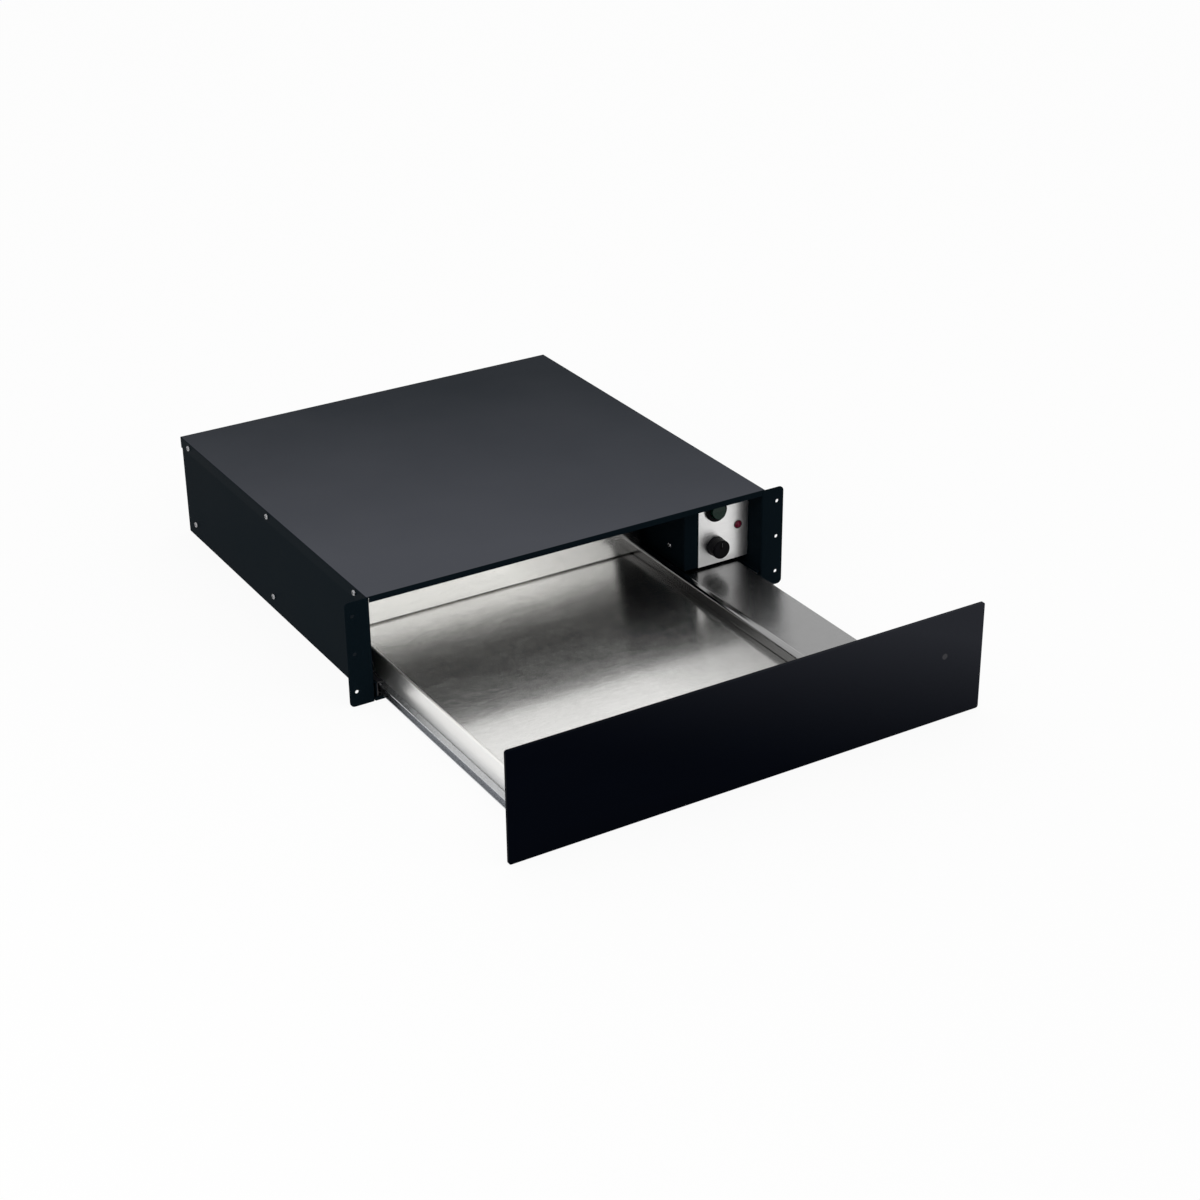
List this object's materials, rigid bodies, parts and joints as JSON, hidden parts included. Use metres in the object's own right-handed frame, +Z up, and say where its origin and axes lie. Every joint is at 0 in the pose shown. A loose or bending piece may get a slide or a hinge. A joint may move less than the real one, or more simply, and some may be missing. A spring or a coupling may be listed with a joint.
{
  "type": "warming drawer",
  "caption": "Built-in warming drawer: black steel casing with mounting flanges, brushed steel tray on ball slides behind a black glass front, with thermostat, switch, fan and ring heater.",
  "frame": {"origin": "centre of the casing's underside, on the surface that it stands on", "axes": "+X to the right seen from the front, +Y from the front to the back (the drawer closes along +Y), +Z up"},
  "size_m": [0.595, 0.9136, 0.1314],
  "materials": {
    "casing_paint": "fine satin powder coat, black",
    "cover_paint": "satin powder coat, dark grey",
    "stainless": "brushed stainless, bright",
    "panel_steel": "brushed stainless plate",
    "slide_black": "black electrocoat",
    "slide_zinc": "bright zinc plate",
    "galvanised": "galvanised sheet",
    "ball_steel": "polished",
    "front_glass": "black back-painted glass, polished",
    "window_lens": "clear lens",
    "bumper_rubber": "matte",
    "knob_plastic": "gloss black",
    "switch_plastic": "fine grained black",
    "rocker_plastic": "dark green, lit lens",
    "lamp_red": "clear red lens",
    "thermostat_case": "moulded brown-black",
    "screw_zinc": "bright zinc",
    "copper": "bright drawn capillary copper",
    "winding_wire": "enamelled copper",
    "lamination": "stacked laminations",
    "impeller_aluminium": "pressed sheet",
    "element_steel": "heat-darkened sheath",
    "ceramic": "pale moulding",
    "wire_cover": "silicone insulation",
    "gland_plastic": "black nylon",
    "latch_plastic": "grey acetal",
    "spring_steel": "drawn wire"
  },
  "bodies": {
    "casing": {"base_plate": "casing_paint", "box_screws": "screw_zinc", "cable_gland": "gland_plastic", "capillary_bulb": "copper", "casing_screws": "screw_zinc", "control_box": "casing_paint", "control_box_floor": "casing_paint", "control_panel": "panel_steel", "fan_housing": "galvanised", "fan_motor_brackets": "galvanised", "fan_motor_coil": "winding_wire", "fan_motor_stator": "lamination", "heating_element": "element_steel", "lamp_body": "thermostat_case", "lamp_lens": "lamp_red", "mounting_flange_left": "casing_paint", "mounting_flange_right": "casing_paint", "push_latch_body": "latch_plastic", "push_latch_spring": "spring_steel", "rear_baffle": "stainless", "rear_panel": "casing_paint", "rear_screws": "screw_zinc", "side_panel_left": "casing_paint", "side_panel_right": "casing_paint", "slide_bracket_left": "casing_paint", "slide_bracket_right": "casing_paint", "slide_cabinet_member_left": "slide_black", "slide_cabinet_member_right": "slide_black", "switch_body": "switch_plastic", "terminal_block": "ceramic", "thermal_cutout": "galvanised", "thermostat_body": "thermostat_case", "thermostat_nut": "screw_zinc", "top_cover": "cover_paint", "wiring": "wire_cover"},
    "drawer": {"slide_drawer_member_left": "slide_zinc", "slide_drawer_member_right": "slide_zinc", "tray_floor": "stainless", "tray_side_left": "stainless", "side_shelf": "stainless", "divider_rail": "stainless", "tray_rear_wall": "stainless", "front_pan": "casing_paint", "inner_front_panel": "stainless", "glass_front": "front_glass", "indicator_window": "window_lens", "latch_striker": "galvanised", "front_bumpers": "bumper_rubber", "front_screws": "screw_zinc"},
    "left_cage": {"ball_cage_left": "slide_zinc", "slide_balls_left": "ball_steel"},
    "right_cage": {"ball_cage_right": "slide_zinc", "slide_balls_right": "ball_steel"},
    "knob": {"thermostat_stem": "screw_zinc", "thermostat_knob": "knob_plastic"},
    "rocker": {"switch_rocker": "rocker_plastic"},
    "fan": {"fan_shaft": "screw_zinc", "fan_impeller": "impeller_aluminium", "fan_nut": "screw_zinc"},
    "plunger": {"push_latch_plunger": "latch_plastic"}
  },
  "joints": [
    {"name": "drawer_slide", "type": "slide", "parent": "casing", "child": "drawer", "axis": [0, 1, 0], "range_m": [0, 0.35]},
    {"name": "left_cage_roll", "type": "slide", "parent": "casing", "child": "left_cage", "axis": [0, 1, 0], "range_m": [0, 0.175]},
    {"name": "right_cage_roll", "type": "slide", "parent": "casing", "child": "right_cage", "axis": [0, 1, 0], "range_m": [0, 0.175]},
    {"name": "thermostat_turn", "type": "hinge", "parent": "casing", "child": "knob", "pos_m": [0.2125, -0.24, 0.0593], "axis": [0, 1, 0], "range_deg": [0, 270]},
    {"name": "switch_tilt", "type": "hinge", "parent": "casing", "child": "rocker", "pos_m": [0.2128, -0.2392, 0.1065], "axis": [1, 0, 0], "range_deg": [0, 16]},
    {"name": "fan_spin", "type": "hinge", "parent": "casing", "child": "fan", "pos_m": [-0.0461, 0.23, 0.06545], "axis": [0, 1, 0], "continuous": true},
    {"name": "latch_push", "type": "slide", "parent": "casing", "child": "plunger", "axis": [0, 1, 0], "range_m": [0, 0.003], "stiffness_N_per_m": 300, "springref_m": -0.004, "deforming": ["push_latch_spring"]}
  ],
  "couplings": [
    {"joint": "left_cage_roll", "follows": "drawer_slide", "ratio": 0.5},
    {"joint": "right_cage_roll", "follows": "drawer_slide", "ratio": 0.5}
  ]
}
